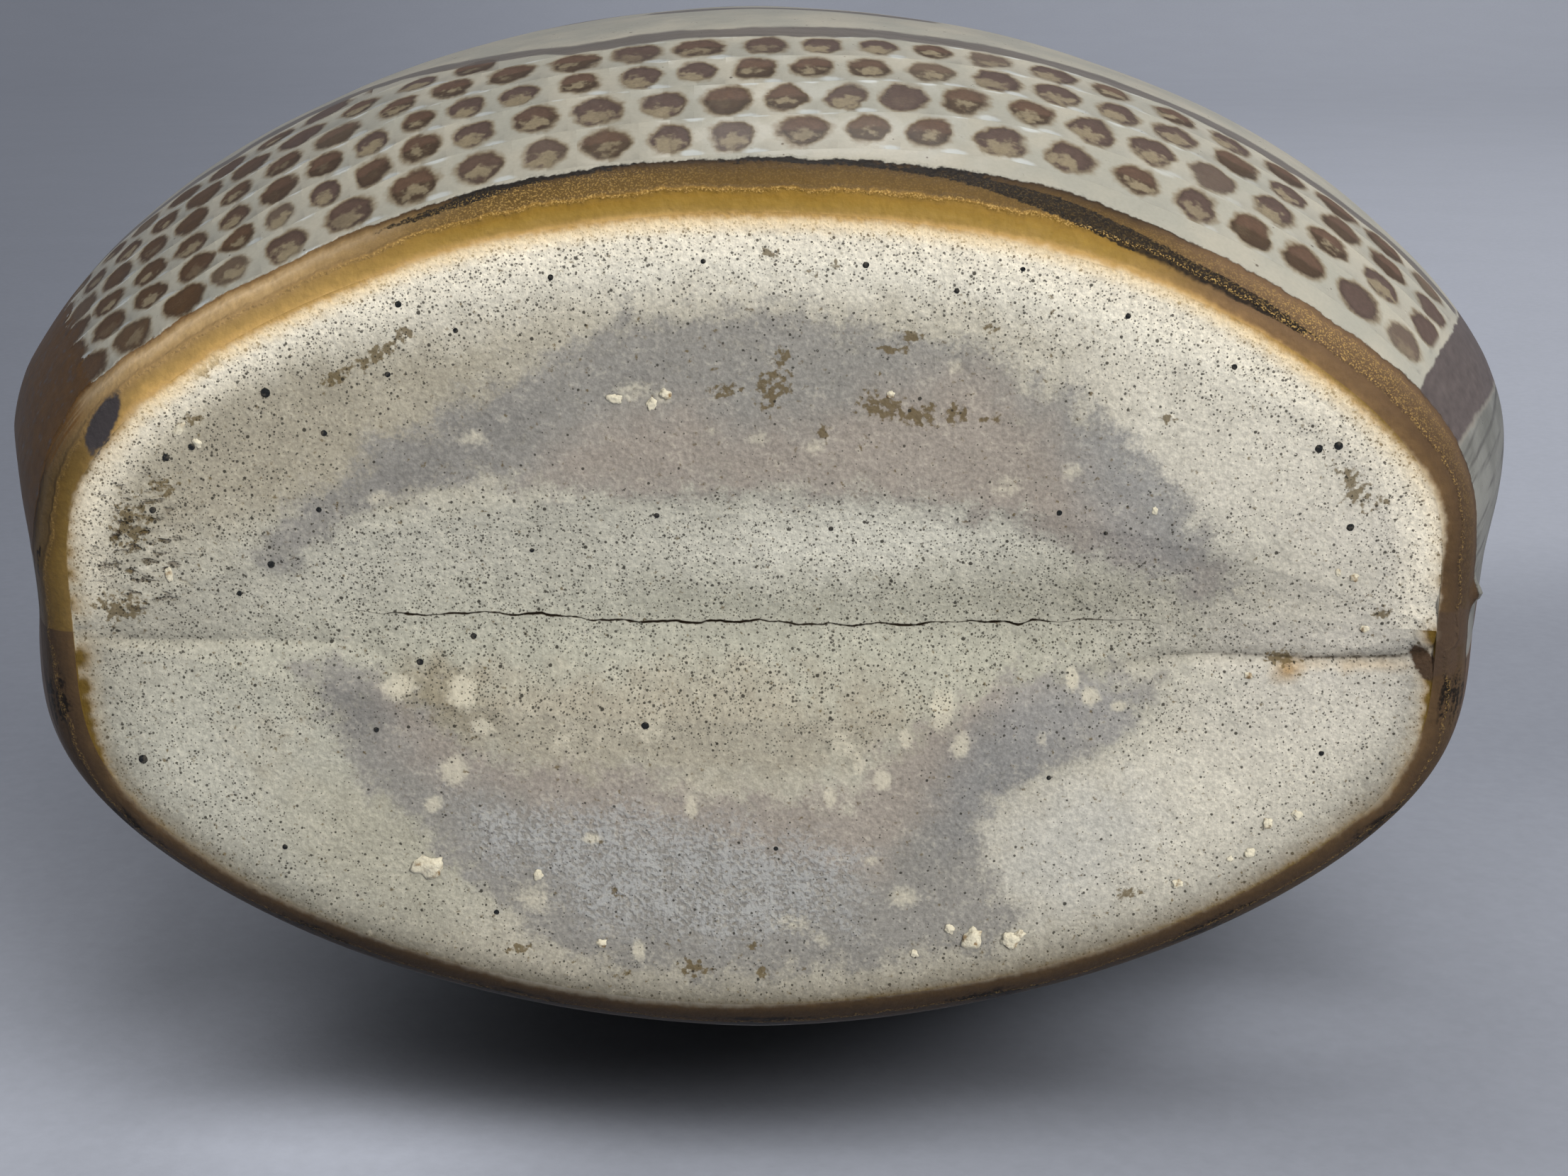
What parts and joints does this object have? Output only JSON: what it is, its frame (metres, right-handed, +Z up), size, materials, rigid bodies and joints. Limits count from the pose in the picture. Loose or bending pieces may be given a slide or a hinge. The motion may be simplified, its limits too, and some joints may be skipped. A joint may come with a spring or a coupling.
{
  "type": "stoneware vase",
  "caption": "Oval, flattened hand-built stoneware vase: two luted half shells on a raw lens-shaped base, glazed outside, with a short round neck and rolled lip.",
  "frame": {"origin": "middle of the base, on the surface that the vase stands on", "axes": "+Z up through the mouth; X along the long axis of the oval base, in the plane of the joint between the half shells; -Y towards the front wall"},
  "size_m": [0.1834, 0.1252, 0.173],
  "materials": {
    "pale_glaze": "glossy pale grey-green glaze with iron-brown dots",
    "raw_stoneware": "raw speckled stoneware",
    "iron_glaze": "satin iron-brown glaze"
  },
  "bodies": {
    "root": {"front_shell": "pale_glaze", "back_shell": "pale_glaze", "base_seam_coil": "raw_stoneware", "left_seam_coil": "raw_stoneware", "right_seam_coil": "raw_stoneware", "neck_collar": "pale_glaze", "mouth_rim": "iron_glaze"}
  },
  "joints": []
}
